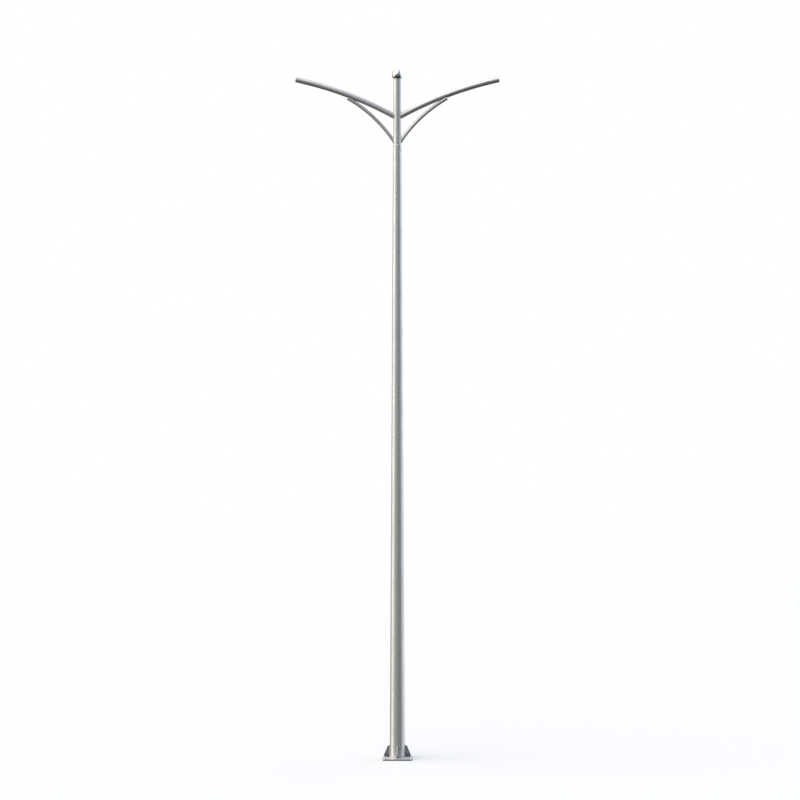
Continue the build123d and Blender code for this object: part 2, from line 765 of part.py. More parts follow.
with BuildPart() as mounting_rail:
    with BuildSketch(side_plane(board_face_y, breaker_height_centre)):
        Rectangle(rail_sheet, rail_channel_height, align=(Align.MIN, Align.CENTER))
        for side in (-1, 1):
            with Locations((0, side * (rail_channel_height - rail_sheet) / 2)):
                Rectangle(rail_depth, rail_sheet, align=(Align.MIN, Align.CENTER))
            with Locations((rail_depth - rail_sheet, side * rail_lip_offset)):
                Rectangle(rail_sheet, rail_lip_height, align=(Align.MIN, Align.CENTER))
    extrude(amount=rail_width / 2, both=True)
export(mounting_rail, "mounting_rail")

toggle_pivot_y = breaker_back_y + breaker_depth + breaker_nose_depth - toggle_pivot_depth

with BuildPart() as circuit_breaker:
    with BuildSketch(side_plane(breaker_back_y, breaker_height_centre)):
        Rectangle(breaker_depth, breaker_height, align=(Align.MIN, Align.CENTER))
        Rectangle(breaker_depth + breaker_nose_depth, breaker_nose_height, align=(Align.MIN, Align.CENTER))
    extrude(amount=breaker_width / 2, both=True)
    chamfer(circuit_breaker.edges().filter_by(Axis.X).group_by(Axis.Y)[-1], breaker_edge_chamfer)
    with BuildSketch(side_plane(toggle_pivot_y, breaker_height_centre)):
        Circle(toggle_pivot_radius + toggle_pocket_clearance)
    extrude(amount=toggle_width / 2 + toggle_pocket_clearance, both=True, mode=Mode.SUBTRACT)
export(circuit_breaker, "circuit_breaker")

with BuildPart() as breaker_toggle:
    with BuildSketch(side_plane(toggle_pivot_y, breaker_height_centre)):
        Circle(toggle_pivot_radius)
        Rectangle(toggle_pivot_radius + toggle_lever_length, toggle_lever_thickness, rotation=toggle_on_angle,
                  align=(Align.MIN, Align.CENTER))
    extrude(amount=toggle_width / 2, both=True)
export(breaker_toggle, "breaker_toggle")

# ---------------------------------------------------------------- terminal block
terminal_height_centre = door_centre_height - terminal_drop
terminal_width = terminal_ways * terminal_pitch + 2 * terminal_end_margin
terminal_front_y = board_face_y + terminal_depth

with BuildPart() as terminal_block:
    with BuildSketch(rear_plane(board_face_y, terminal_height_centre)):
        Rectangle(terminal_width, terminal_height)
    extrude(amount=terminal_depth)
    chamfer(terminal_block.faces().sort_by(Axis.Y)[-1].edges(), door_edge_chamfer)
    with BuildSketch(rear_plane(terminal_front_y, terminal_height_centre)):
        with GridLocations(terminal_pitch, 2 * terminal_screw_offset, terminal_ways, 2):
            Circle(terminal_screw_diameter / 2 + fastener_clearance)
    extrude(amount=-terminal_screw_depth, mode=Mode.SUBTRACT)
    with BuildSketch(Plane.XY.offset(terminal_height_centre - terminal_height / 2)):
        with Locations((0, board_face_y + terminal_wire_hole_diameter)):
            with GridLocations(terminal_pitch, 0, terminal_ways, 1):
                Circle(terminal_wire_hole_diameter / 2)
    extrude(amount=terminal_height, mode=Mode.SUBTRACT)
export(terminal_block, "terminal_block")

with BuildPart() as terminal_screws:
    with BuildSketch(rear_plane(terminal_front_y - terminal_screw_depth, terminal_height_centre)):
        with GridLocations(terminal_pitch, 2 * terminal_screw_offset, terminal_ways, 2):
            Circle(terminal_screw_diameter / 2)
    extrude(amount=terminal_screw_depth / 2)
    with BuildSketch(rear_plane(terminal_front_y - terminal_screw_depth / 2, terminal_height_centre)):
        with GridLocations(terminal_pitch, 2 * terminal_screw_offset, terminal_ways, 2):
            Rectangle(terminal_screw_diameter, terminal_slot_width)
    extrude(amount=-terminal_slot_depth, mode=Mode.SUBTRACT)
export(terminal_screws, "terminal_screws")

# ---------------------------------------------------------------- earth stud on the door frame's lower web
earth_base_height = door_centre_height - opening_height / 2
earth_depth = frame_end_depth + earth_washer_diameter / 2
earth_lower_washer = earth_base_height + earth_nut_height
earth_upper_washer = earth_lower_washer + earth_washer_thickness + earth_lug_space


def earth_plane(height):
    """Level plane on the earth stud's axis."""
    return Plane(origin=(0, earth_depth, height))


with BuildPart() as earth_stud:
    with BuildSketch(earth_plane(earth_base_height)):
        Circle(earth_stud_diameter / 2)
    extrude(amount=earth_stud_length)
    chamfer(earth_stud.faces().sort_by(Axis.Z)[-1].edges(), earth_stud_chamfer)
export(earth_stud, "earth_stud")

with BuildPart() as earth_nuts:
    for low in (earth_base_height, earth_upper_washer + earth_washer_thickness):
        with BuildSketch(earth_plane(low)):
            RegularPolygon(earth_nut_flats / 2, 6, major_radius=False)
            Circle(earth_stud_diameter / 2 + thread_clearance, mode=Mode.SUBTRACT)
        extrude(amount=earth_nut_height)
export(earth_nuts, "earth_nuts")

with BuildPart() as earth_washers:
    for low in (earth_lower_washer, earth_upper_washer):
        with BuildSketch(earth_plane(low)):
            Circle(earth_washer_diameter / 2)
            Circle(earth_stud_diameter / 2 + fastener_clearance, mode=Mode.SUBTRACT)
        extrude(amount=earth_washer_thickness)
export(earth_washers, "earth_washers")
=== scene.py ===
"""Looks for the twin-arm street lamp post: studio, finishes, and the weld beads that join its steel.

Metres. Z is up, the ground is Z = 0, the arms lie along X, and the service door faces +Y.
"""
import json
from math import asin, cos, hypot, pi, radians, sin

import bpy
from mathutils import Matrix, Vector


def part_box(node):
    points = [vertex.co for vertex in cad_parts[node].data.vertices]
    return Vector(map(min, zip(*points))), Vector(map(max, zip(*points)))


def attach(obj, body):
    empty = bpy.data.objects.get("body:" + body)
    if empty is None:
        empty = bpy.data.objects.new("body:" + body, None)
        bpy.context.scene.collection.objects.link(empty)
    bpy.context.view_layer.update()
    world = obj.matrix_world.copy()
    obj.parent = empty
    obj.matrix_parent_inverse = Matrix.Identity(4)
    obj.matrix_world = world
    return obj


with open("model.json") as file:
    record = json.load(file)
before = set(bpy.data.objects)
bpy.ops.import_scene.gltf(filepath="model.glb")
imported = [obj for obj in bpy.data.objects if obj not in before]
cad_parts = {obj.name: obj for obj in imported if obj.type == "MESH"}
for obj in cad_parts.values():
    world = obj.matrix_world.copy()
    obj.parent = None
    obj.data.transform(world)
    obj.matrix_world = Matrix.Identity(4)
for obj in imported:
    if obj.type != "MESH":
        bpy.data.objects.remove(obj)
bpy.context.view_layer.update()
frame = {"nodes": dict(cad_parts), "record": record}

# ---------------------------------------------------------------- camera
eye_level = 4.943
camera_distance = 29.0
camera_aside = 0.0365
lens_mm = 94.6
sensor_mm = 36.0
view_reach = 400.0


def stand_camera():
    """Level camera in front of the post, at the middle of its height."""
    bpy.ops.object.camera_add(location=(camera_aside, -camera_distance, eye_level), rotation=(pi / 2, 0, 0))
    camera = bpy.context.object
    camera.name = "front_camera"
    camera.data.lens = lens_mm
    camera.data.sensor_width = sensor_mm
    camera.data.clip_end = view_reach
    bpy.context.scene.camera = camera


# ---------------------------------------------------------------- studio
key_towards = (-0.52, -0.36, 0.90)
key_distance = 10.0
key_strength = 2.05
key_spread = radians(84)
key_colour = (1.0, 0.98, 0.94)
# What the steel sees round it: strength by height, times strength from front to back, times a tint across.
height_stops = ((-1.0, 0.14), (-0.79, 0.17), (-0.5, (0.35, 0.34, 0.26)), (-0.156, (1.10, 1.08, 0.76)),
                (0.2, 2.1), (0.56, 2.5), (0.85, 2.0), (1.0, 2.0))
backward = (-0.45, 0.89, 0.0)
backward_stops = ((-1.0, 0.18), (-0.5, 0.265), (0.0, 0.40), (0.3, 0.75), (0.6, 0.32), (1.0, 0.16))
across_stops = ((-1.0, (1.0, 0.985, 0.965)), (-0.45, (1.0, 0.98, 0.90)), (-0.05, (1.0, 0.975, 0.94)),
                (0.3, (0.63, 0.735, 1.08)), (0.65, (0.64, 0.79, 1.06)), (1.0, (0.86, 0.93, 1.0)))
panel_foot = (-0.55, -0.20)                # heights between which the panels' light begins
# Two light panels: where each stands, the cosines within which it is full and beyond which it is gone,
# its strength and its tint.
panels = (
    ((-0.985, -0.06, 0.15), 0.97, 0.80, 1.20, (1.0, 0.985, 0.96)),
    ((0.89, 0.44, 0.16), 0.98, 0.50, 0.95, (0.85, 0.93, 1.01)),
)


def node(tree, kind, **settings):
    """Add a node to a tree with its settings, then its input values by name or number."""
    made = tree.nodes.new(kind)
    for name, value in settings.items():
        if name == "inputs":
            for key, item in value.items():
                made.inputs[key].default_value = item
        else:
            setattr(made, name, value)
    return made


def join(tree, *pairs):
    """Link sockets, given as (from, to) pairs."""
    for source, target in pairs:
        tree.links.new(source, target)


def ramp_along(tree, way, towards, stops):
    """Colour that is graded along a direction, from stops given as (cosine, strength or colour)."""
    along = node(tree, "ShaderNodeVectorMath", operation="DOT_PRODUCT")
    along.inputs[1].default_value = Vector(towards).normalized()
    spread = node(tree, "ShaderNodeMapRange", inputs={1: -1.0, 2: 1.0})
    ramp = node(tree, "ShaderNodeValToRGB")
    join(tree, (way, along.inputs[0]), (along.outputs["Value"], spread.inputs[0]),
         (spread.outputs[0], ramp.inputs[0]))
    marks = ramp.color_ramp.elements
    while len(marks) < len(stops):
        marks.new(0.5)
    for mark, (at, tone) in zip(marks, stops):
        mark.position = (at + 1) / 2
        mark.color = (*tone, 1.0) if isinstance(tone, tuple) else (tone, tone, tone, 1.0)
    return ramp.outputs["Color"]


def light_studio():
    """White backdrop for the camera, dim graded surroundings for the steel, and one soft key light."""
    world = bpy.data.worlds.new("studio")
    bpy.context.scene.world = world
    world.use_nodes = True
    tree = world.node_tree
    tree.nodes.clear()
    way = node(tree, "ShaderNodeTexCoord")
    surroundings = None
    for towards, stops in (((0, 0, 1), height_stops), (backward, backward_stops), ((1, 0, 0), across_stops)):
        graded = ramp_along(tree, way.outputs["Generated"], towards, stops)
        if surroundings is None:
            surroundings = graded
            continue
        times = node(tree, "ShaderNodeVectorMath", operation="MULTIPLY")
        join(tree, (surroundings, times.inputs[0]), (graded, times.inputs[1]))
        surroundings = times.outputs[0]
    height = node(tree, "ShaderNodeSeparateXYZ")
    above = node(tree, "ShaderNodeMapRange", interpolation_type="SMOOTHSTEP",
                 inputs={1: panel_foot[0], 2: panel_foot[1]})
    join(tree, (way.outputs["Generated"], height.inputs[0]), (height.outputs["Z"], above.inputs[0]))
    for towards, inner, outer, strength, tint in panels:
        aim = node(tree, "ShaderNodeVectorMath", operation="DOT_PRODUCT")
        aim.inputs[1].default_value = Vector(towards).normalized()
        edge = node(tree, "ShaderNodeMapRange", interpolation_type="SMOOTHSTEP", inputs={1: outer, 2: inner})
        cut = node(tree, "ShaderNodeMath", operation="MULTIPLY")
        glow = node(tree, "ShaderNodeMix", data_type="RGBA", blend_type="ADD")
        glow.inputs["B"].default_value = (*[strength * part for part in tint], 1.0)
        join(tree, (way.outputs["Generated"], aim.inputs[0]), (aim.outputs["Value"], edge.inputs[0]),
             (edge.outputs[0], cut.inputs[0]), (above.outputs[0], cut.inputs[1]),
             (cut.outputs[0], glow.inputs["Factor"]), (surroundings, glow.inputs["A"]))
        surroundings = glow.outputs["Result"]
    dim = node(tree, "ShaderNodeBackground")
    white = node(tree, "ShaderNodeBackground")
    ray = node(tree, "ShaderNodeLightPath")
    choice = node(tree, "ShaderNodeMixShader")
    out = node(tree, "ShaderNodeOutputWorld")
    join(tree, (surroundings, dim.inputs["Color"]), (ray.outputs["Is Camera Ray"], choice.inputs[0]),
         (dim.outputs[0], choice.inputs[1]), (white.outputs[0], choice.inputs[2]),
         (choice.outputs[0], out.inputs["Surface"]))
    white.inputs["Color"].default_value = (1.0, 1.0, 1.0, 1.0)

    bpy.ops.object.light_add(type="SUN", location=Vector(key_towards) * key_distance)
    key = bpy.context.object
    key.name = "key_light"
    key.rotation_mode = "QUATERNION"
    key.rotation_quaternion = Vector(key_towards).to_track_quat("Z", "Y")
    key.data.energy = key_strength
    key.data.angle = key_spread
    key.data.color = key_colour
    bpy.context.scene.view_settings.view_transform = "Standard"


# ---------------------------------------------------------------- floor
floor_radius = 60.0
floor_sides = 96
floor_fade_start = 18.0
floor_fade_end = 57.0
floor_colour = (0.70, 0.696, 0.69, 1.0)
floor_roughness = 0.9


def lay_floor():
    """Plain pale floor, whose edge fades into the backdrop. It takes shadows but throws no light back."""
    bpy.ops.mesh.primitive_circle_add(vertices=floor_sides, radius=floor_radius, fill_type="NGON")
    floor = bpy.context.object
    floor.name = "studio_floor"
    floor.visible_diffuse = False
    floor.visible_glossy = False
    material = bpy.data.materials.new("pale_floor")
    material.use_nodes = True
    tree = material.node_tree
    shader = tree.nodes["Principled BSDF"]
    place = node(tree, "ShaderNodeTexCoord")
    reach = node(tree, "ShaderNodeVectorMath", operation="LENGTH")
    fade = node(tree, "ShaderNodeMapRange", interpolation_type="SMOOTHSTEP",
                inputs={1: floor_fade_start, 2: floor_fade_end, 3: 1.0, 4: 0.0})
    join(tree, (place.outputs["Object"], reach.inputs[0]), (reach.outputs["Value"], fade.inputs[0]),
         (fade.outputs[0], shader.inputs["Alpha"]))
    shader.inputs["Base Color"].default_value = floor_colour
    shader.inputs["Roughness"].default_value = floor_roughness
    shader.inputs["Specular IOR Level"].default_value = 0.0
    floor.data.materials.append(material)


# ---------------------------------------------------------------- shared effects
def effect(name, takes, gives):
    """Empty shader node group with named inputs and outputs. Returns it with its two end nodes."""
    group = bpy.data.node_groups.new(name, "ShaderNodeTree")
    for label, kind, value in takes:
        socket = group.interface.new_socket(label, in_out="INPUT", socket_type=kind)
        if value is not None:
            socket.default_value = value
    for label, kind in gives:
        group.interface.new_socket(label, in_out="OUTPUT", socket_type=kind)
    return group, node(group, "NodeGroupInput"), node(group, "NodeGroupOutput")


FLOAT, VECTOR = "NodeSocketFloat", "NodeSocketVector"
finer_by = 14.0                            # how much finer the mottle's grain is than its clouds
spangle_wander = (0.012, 0.012, 0.012)     # how far the zinc crystals' borders wander


def make_mottle():
    """Soft cloudy variation with a finer grain in it, from 0 to 1."""
    group, given, out = effect("mottle", (("Vector", VECTOR, None), ("Scale", FLOAT, 10.0),
                                          ("Fine", FLOAT, 0.3)), (("Value", FLOAT),))
    broad = node(group, "ShaderNodeTexNoise", inputs={"Detail": 4.0, "Roughness": 0.55})
    times = node(group, "ShaderNodeMath", operation="MULTIPLY", inputs={1: finer_by})
    fine = node(group, "ShaderNodeTexNoise", inputs={"Detail": 2.0, "Roughness": 0.7})
    blend = node(group, "ShaderNodeMix", data_type="FLOAT")
    join(group, (given.outputs["Vector"], broad.inputs["Vector"]),
         (given.outputs["Scale"], broad.inputs["Scale"]), (given.outputs["Scale"], times.inputs[0]),
         (times.outputs[0], fine.inputs["Scale"]), (given.outputs["Vector"], fine.inputs["Vector"]),
         (given.outputs["Fine"], blend.inputs["Factor"]),
         (broad.outputs["Fac"], blend.inputs["A"]), (fine.outputs["Fac"], blend.inputs["B"]),
         (blend.outputs["Result"], out.inputs["Value"]))
    return group


def make_spangle():
    """Crystal patches that hot zinc leaves, showing faintly through the coat: a value for each patch."""
    group, given, out = effect("zinc_spangle", (("Vector", VECTOR, None), ("Scale", FLOAT, 60.0)),
                               (("Value", FLOAT), ("Borders", FLOAT)))
    bend = node(group, "ShaderNodeTexNoise", inputs={"Scale": 40.0, "Detail": 2.0})
    shift = node(group, "ShaderNodeVectorMath", operation="MULTIPLY_ADD")
    shift.inputs[1].default_value = spangle_wander
    cells = node(group, "ShaderNodeTexVoronoi", feature="F1")
    rims = node(group, "ShaderNodeTexVoronoi", feature="DISTANCE_TO_EDGE")
    part = node(group, "ShaderNodeSeparateColor")
    join(group, (given.outputs["Vector"], bend.inputs["Vector"]), (bend.outputs["Color"], shift.inputs[0]),
         (given.outputs["Vector"], shift.inputs[2]), (shift.outputs[0], cells.inputs["Vector"]),
         (shift.outputs[0], rims.inputs["Vector"]), (given.outputs["Scale"], cells.inputs["Scale"]),
         (given.outputs["Scale"], rims.inputs["Scale"]), (cells.outputs["Color"], part.inputs[0]),
         (part.outputs[0], out.inputs["Value"]), (rims.outputs["Distance"], out.inputs["Borders"]))
    return group


def make_streaks():
    """Faint marks that rain leaves as it runs down, from 0 to 1."""
    group, given, out = effect("rain_streaks", (("Vector", VECTOR, None), ("Width", FLOAT, 60.0),
                                                ("Length", FLOAT, 1.2)), (("Mask", FLOAT),))
    stretch = node(group, "ShaderNodeCombineXYZ")
    scale = node(group, "ShaderNodeVectorMath", operation="MULTIPLY")
    marks = node(group, "ShaderNodeTexNoise", inputs={"Scale": 1.0, "Detail": 3.0, "Roughness": 0.6})
    clip = node(group, "ShaderNodeMapRange", interpolation_type="SMOOTHSTEP", inputs={1: 0.48, 2: 0.72})
    join(group, (given.outputs["Width"], stretch.inputs["X"]), (given.outputs["Width"], stretch.inputs["Y"]),
         (given.outputs["Length"], stretch.inputs["Z"]), (given.outputs["Vector"], scale.inputs[0]),
         (stretch.outputs[0], scale.inputs[1]), (scale.outputs[0], marks.inputs["Vector"]),
         (marks.outputs["Fac"], clip.inputs[0]), (clip.outputs[0], out.inputs["Mask"]))
    return group


def make_wear():
    """Mask of sharp edges, broken up so that they look handled."""
    group, given, out = effect("edge_wear", (("Vector", VECTOR, None), ("Radius", FLOAT, 0.002),
                                             ("Scale", FLOAT, 120.0)), (("Mask", FLOAT),))
    round_off = node(group, "ShaderNodeBevel", samples=6)
    flat = node(group, "ShaderNodeNewGeometry")
    same = node(group, "ShaderNodeVectorMath", operation="DOT_PRODUCT")
    edge = node(group, "ShaderNodeMapRange", interpolation_type="SMOOTHSTEP",
                inputs={1: 0.995, 2: 0.86, 3: 0.0, 4: 1.0})
    patch = node(group, "ShaderNodeTexNoise", inputs={"Detail": 4.0, "Roughness": 0.65})
    gaps = node(group, "ShaderNodeMapRange", interpolation_type="SMOOTHSTEP", inputs={1: 0.36, 2: 0.62})
    both = node(group, "ShaderNodeMath", operation="MULTIPLY")
    join(group, (given.outputs["Radius"], round_off.inputs["Radius"]), (round_off.outputs[0], same.inputs[0]),
         (flat.outputs["Normal"], same.inputs[1]), (same.outputs["Value"], edge.inputs[0]),
         (given.outputs["Vector"], patch.inputs["Vector"]), (given.outputs["Scale"], patch.inputs["Scale"]),
         (patch.outputs["Fac"], gaps.inputs[0]), (edge.outputs[0], both.inputs[0]),
         (gaps.outputs[0], both.inputs[1]), (both.outputs[0], out.inputs["Mask"]))
    return group


def make_dust():
    """Dust that settles on faces that look up."""
    group, given, out = effect("settled_dust", (("Vector", VECTOR, None), ("Scale", FLOAT, 25.0)),
                               (("Mask", FLOAT),))
    flat = node(group, "ShaderNodeNewGeometry")
    part = node(group, "ShaderNodeSeparateXYZ")
    up = node(group, "ShaderNodeMapRange", interpolation_type="SMOOTHSTEP", inputs={1: 0.35, 2: 0.95})
    patch = node(group, "ShaderNodeTexNoise", inputs={"Detail": 5.0, "Roughness": 0.6})
    clip = node(group, "ShaderNodeMapRange", interpolation_type="SMOOTHSTEP", inputs={1: 0.35, 2: 0.7})
    both = node(group, "ShaderNodeMath", operation="MULTIPLY")
    join(group, (flat.outputs["Normal"], part.inputs[0]), (part.outputs["Z"], up.inputs[0]),
         (given.outputs["Vector"], patch.inputs["Vector"]), (given.outputs["Scale"], patch.inputs["Scale"]),
         (patch.outputs["Fac"], clip.inputs[0]), (up.outputs[0], both.inputs[0]),
         (clip.outputs[0], both.inputs[1]), (both.outputs[0], out.inputs["Mask"]))
    return group


def make_soil():
    """Soil splashed up from the ground, together with painted contact shade near the ground, on faces that
    stand upright.
    """
    group, given, out = effect("ground_soil", (("Vector", VECTOR, None), ("Top", FLOAT, 0.05),
                                               ("Scale", FLOAT, 60.0)), (("Mask", FLOAT),))
    flat = node(group, "ShaderNodeNewGeometry")
    lean = node(group, "ShaderNodeSeparateXYZ")
    upright = node(group, "ShaderNodeMapRange", interpolation_type="SMOOTHSTEP",
                   inputs={1: 0.75, 2: 0.25, 3: 0.0, 4: 1.0})
    place = node(group, "ShaderNodeSeparateXYZ")
    share = node(group, "ShaderNodeMath", operation="DIVIDE")
    patch = node(group, "ShaderNodeTexNoise", inputs={"Detail": 5.0, "Roughness": 0.65})
    ragged = node(group, "ShaderNodeMath", operation="ADD")
    fade = node(group, "ShaderNodeMapRange", interpolation_type="SMOOTHSTEP",
                inputs={1: 1.5, 2: 0.6, 3: 0.0, 4: 1.0})
    both = node(group, "ShaderNodeMath", operation="MULTIPLY")
    join(group, (flat.outputs["Normal"], lean.inputs[0]), (lean.outputs["Z"], upright.inputs[0]),
         (given.outputs["Vector"], place.inputs[0]), (place.outputs["Z"], share.inputs[0]),
         (given.outputs["Top"], share.inputs[1]), (given.outputs["Vector"], patch.inputs["Vector"]),
         (given.outputs["Scale"], patch.inputs["Scale"]), (share.outputs[0], ragged.inputs[0]),
         (patch.outputs["Fac"], ragged.inputs[1]), (ragged.outputs[0], fade.inputs[0]),
         (fade.outputs[0], both.inputs[0]), (upright.outputs[0], both.inputs[1]),
         (both.outputs[0], out.inputs["Mask"]))
    return group


def make_brushing():
    """Fine lines that a belt or a lathe leaves, as a height. The stretch gives their direction."""
    group, given, out = effect("brushed_lines", (("Vector", VECTOR, None),
                                                 ("Stretch", VECTOR, (900.0, 900.0, 12.0))),
                               (("Height", FLOAT),))
    scale = node(group, "ShaderNodeVectorMath", operation="MULTIPLY")
    lines = node(group, "ShaderNodeTexNoise", inputs={"Scale": 1.0, "Detail": 2.0, "Roughness": 0.5})
    join(group, (given.outputs["Vector"], scale.inputs[0]), (given.outputs["Stretch"], scale.inputs[1]),
         (scale.outputs[0], lines.inputs["Vector"]), (lines.outputs["Fac"], out.inputs["Height"]))
    return group


effects = {}


def gather_effects():
    """Build each shared effect once."""
    effects.update(mottle=make_mottle(), spangle=make_spangle(), streaks=make_streaks(), wear=make_wear(),
                   dust=make_dust(), soil=make_soil(), brushing=make_brushing())


# ---------------------------------------------------------------- finishes
class Finish:
    """One material: a Principled shader whose colour, roughness and bump are built up in layers."""

    def __init__(self, name, colour, roughness, metallic=0.0):
        self.material = bpy.data.materials.new(name)
        self.material.use_nodes = True
        self.tree = self.material.node_tree
        self.shader = self.tree.nodes["Principled BSDF"]
        self.place = node(self.tree, "ShaderNodeTexCoord").outputs["Object"]
        self.colour = (*colour, 1.0)
        self.roughness = roughness
        self.normal = None
        self.shader.inputs["Metallic"].default_value = metallic

    def feed(self, start, socket):
        """Give a socket what is built so far: the plain value a finish starts from, or its last layer."""
        if isinstance(start, (tuple, float)):
            socket.default_value = start
        else:
            join(self.tree, (start, socket))

    def use(self, kind, output, **values):
        """Place a shared effect on the object's own coordinates and return one of its outputs."""
        made = node(self.tree, "ShaderNodeGroup", node_tree=effects[kind])
        join(self.tree, (self.place, made.inputs["Vector"]))
        for label, value in values.items():
            made.inputs[label].default_value = value
        return made.outputs[output]

    def limit(self, value, low, high, to_low=0.0, to_high=1.0):
        """Spread a value between two limits."""
        made = node(self.tree, "ShaderNodeMapRange", interpolation_type="SMOOTHSTEP",
                    inputs={1: low, 2: high, 3: to_low, 4: to_high})
        join(self.tree, (value, made.inputs[0]))
        return made.outputs[0]

    def product(self, first, second):
        """One value times another."""
        made = node(self.tree, "ShaderNodeMath", operation="MULTIPLY")
        join(self.tree, (first, made.inputs[0]), (second, made.inputs[1]))
        return made.outputs[0]

    def tint(self, mask, colour, strength):
        """Lay a colour over the one below, where the mask says."""
        made = node(self.tree, "ShaderNodeMix", data_type="RGBA", blend_type="MIX")
        made.inputs["B"].default_value = (*colour, 1.0)
        join(self.tree, (self.limit(mask, 0.0, 1.0, 0.0, strength), made.inputs["Factor"]))
        self.feed(self.colour, made.inputs["A"])
        self.colour = made.outputs["Result"]

    def roughen(self, mask, amount):
        """Add to the roughness where the mask says; a negative amount smooths."""
        made = node(self.tree, "ShaderNodeMath", operation="MULTIPLY_ADD", use_clamp=True, inputs={1: amount})
        join(self.tree, (mask, made.inputs[0]))
        self.feed(self.roughness, made.inputs[2])
        self.roughness = made.outputs[0]

    def bump(self, height, depth, strength):
        """Raise the surface by a height map, depth in metres."""
        made = node(self.tree, "ShaderNodeBump", inputs={"Distance": depth, "Strength": strength})
        join(self.tree, (height, made.inputs["Height"]))
        if self.normal is not None:
            join(self.tree, (self.normal, made.inputs["Normal"]))
        self.normal = made.outputs["Normal"]

    def done(self):
        """Join the layers to the shader."""
        self.feed(self.colour, self.shader.inputs["Base Color"])
        self.feed(self.roughness, self.shader.inputs["Roughness"])
        join(self.tree, (self.normal, self.shader.inputs["Normal"]))
        return self.material


def silver_coat(name="silver_coat", shade=(1.0, 1.0, 1.0), bright=0.60, soil_top=0.045,
                soil_and_shade_colour=(0.13, 0.125, 0.118)):
    """Hot-dip zinc under a satin silver-grey coat; every colour is scaled by shade, which paints shade on a
    darker copy or brightness on a lighter one; soil and painted contact shade darken upright faces up to a
    height.
    """
    # Every colour is scaled by shade: painted shade where it is below 1, painted brightness where it is above
    # 1.
    def grey(*colour):
        return tuple(share * part for share, part in zip(shade, colour))

    coat = Finish(name, grey(0.62, 0.622, 0.625), 0.25, metallic=bright)
    patches = coat.use("spangle", "Value", Scale=70.0)
    clouds = coat.use("mottle", "Value", Scale=5.0, Fine=0.35)
    grain = coat.use("mottle", "Value", Scale=900.0, Fine=0.5)
    runs = coat.use("streaks", "Mask", Width=45.0, Length=0.9)
    wear = coat.use("wear", "Mask", Radius=0.0025, Scale=90.0)
    dust = coat.use("dust", "Mask", Scale=22.0)
    soil = coat.use("soil", "Mask", Top=soil_top, Scale=60.0)
    coat.tint(coat.limit(clouds, 0.38, 0.66), grey(0.52, 0.525, 0.54), 0.6)
    coat.tint(patches, grey(0.68, 0.685, 0.69), 0.32)
    coat.tint(runs, grey(0.47, 0.47, 0.46), 0.32)
    coat.tint(dust, grey(0.52, 0.50, 0.46), 0.38)
    coat.tint(wear, grey(0.78, 0.79, 0.80), 0.6)
    # Painted contact shade, with some soil: upright faces near the ground darken towards this colour.
    coat.tint(soil, soil_and_shade_colour, 0.9)
    coat.roughen(soil, 0.25)
    coat.roughen(coat.limit(clouds, 0.35, 0.7), 0.10)
    coat.roughen(runs, 0.08)
    coat.roughen(dust, 0.22)
    coat.bump(grain, 0.00012, 0.45)
    coat.bump(clouds, 0.0006, 0.25)
    return coat.done()


def polished_stainless():
    """Mirror-polished ball, with a haze of fine marks and a few dried drops."""
    ball = Finish("polished_stainless", (0.78, 0.785, 0.80), 0.07, metallic=1.0)
    haze = ball.use("mottle", "Value", Scale=18.0, Fine=0.3)
    marks = ball.use("brushing", "Height", Stretch=(700.0, 700.0, 60.0))
    dust = ball.use("dust", "Mask", Scale=40.0)
    ball.tint(ball.limit(haze, 0.4, 0.7), (0.70, 0.705, 0.72), 0.5)
    ball.tint(dust, (0.55, 0.53, 0.50), 0.18)
    ball.roughen(ball.limit(haze, 0.42, 0.75), 0.08)
    ball.roughen(dust, 0.14)
    ball.bump(marks, 0.00002, 0.25)
    return ball.done()


def plain_steel(name, colour, roughness, stretch):
    """Turned or rolled bright steel with fine lines and handled edges."""
    steel = Finish(name, colour, roughness, metallic=1.0)
    lines = steel.use("brushing", "Height", Stretch=stretch)
    clouds = steel.use("mottle", "Value", Scale=60.0, Fine=0.4)
    wear = steel.use("wear", "Mask", Radius=0.0007, Scale=400.0)
    steel.tint(steel.limit(clouds, 0.38, 0.68), tuple(0.78 * part for part in colour), 0.6)
    steel.tint(wear, (0.85, 0.85, 0.86), 0.6)
    steel.roughen(steel.limit(clouds, 0.35, 0.7), 0.14)
    steel.roughen(lines, 0.10)
    steel.bump(lines, 0.00004, 0.4)
    return steel.done()


def yellow_zinc():
    """Zinc plate, passivated: pale metal with a slight yellow and blue cast that wanders."""
    plate = Finish("zinc_plate", (0.66, 0.65, 0.60), 0.34, metallic=1.0)
    clouds = plate.use("mottle", "Value", Scale=35.0, Fine=0.25)
    cast = plate.use("mottle", "Value", Scale=14.0, Fine=0.1)
    wear = plate.use("wear", "Mask", Radius=0.0008, Scale=300.0)
    grain = plate.use("mottle", "Value", Scale=1500.0, Fine=0.5)
    plate.tint(plate.limit(cast, 0.42, 0.62), (0.62, 0.64, 0.68), 0.8)
    plate.tint(plate.limit(clouds, 0.4, 0.7), (0.50, 0.50, 0.47), 0.5)
    plate.tint(wear, (0.82, 0.82, 0.82), 0.5)
    plate.roughen(plate.limit(clouds, 0.35, 0.7), 0.16)
    plate.bump(grain, 0.00005, 0.4)
    return plate.done()


def cellular_rubber():
    """Black closed-cell seal."""
    rubber = Finish("seal_rubber", (0.022, 0.022, 0.023), 0.72)
    cells = rubber.use("spangle", "Borders", Scale=1600.0)
    clouds = rubber.use("mottle", "Value", Scale=120.0, Fine=0.4)
    rubber.tint(rubber.limit(clouds, 0.4, 0.7), (0.05, 0.05, 0.05), 0.6)
    rubber.roughen(rubber.limit(clouds, 0.4, 0.7), 0.12)
    rubber.bump(cells, 0.0002, 0.5)
    return rubber.done()


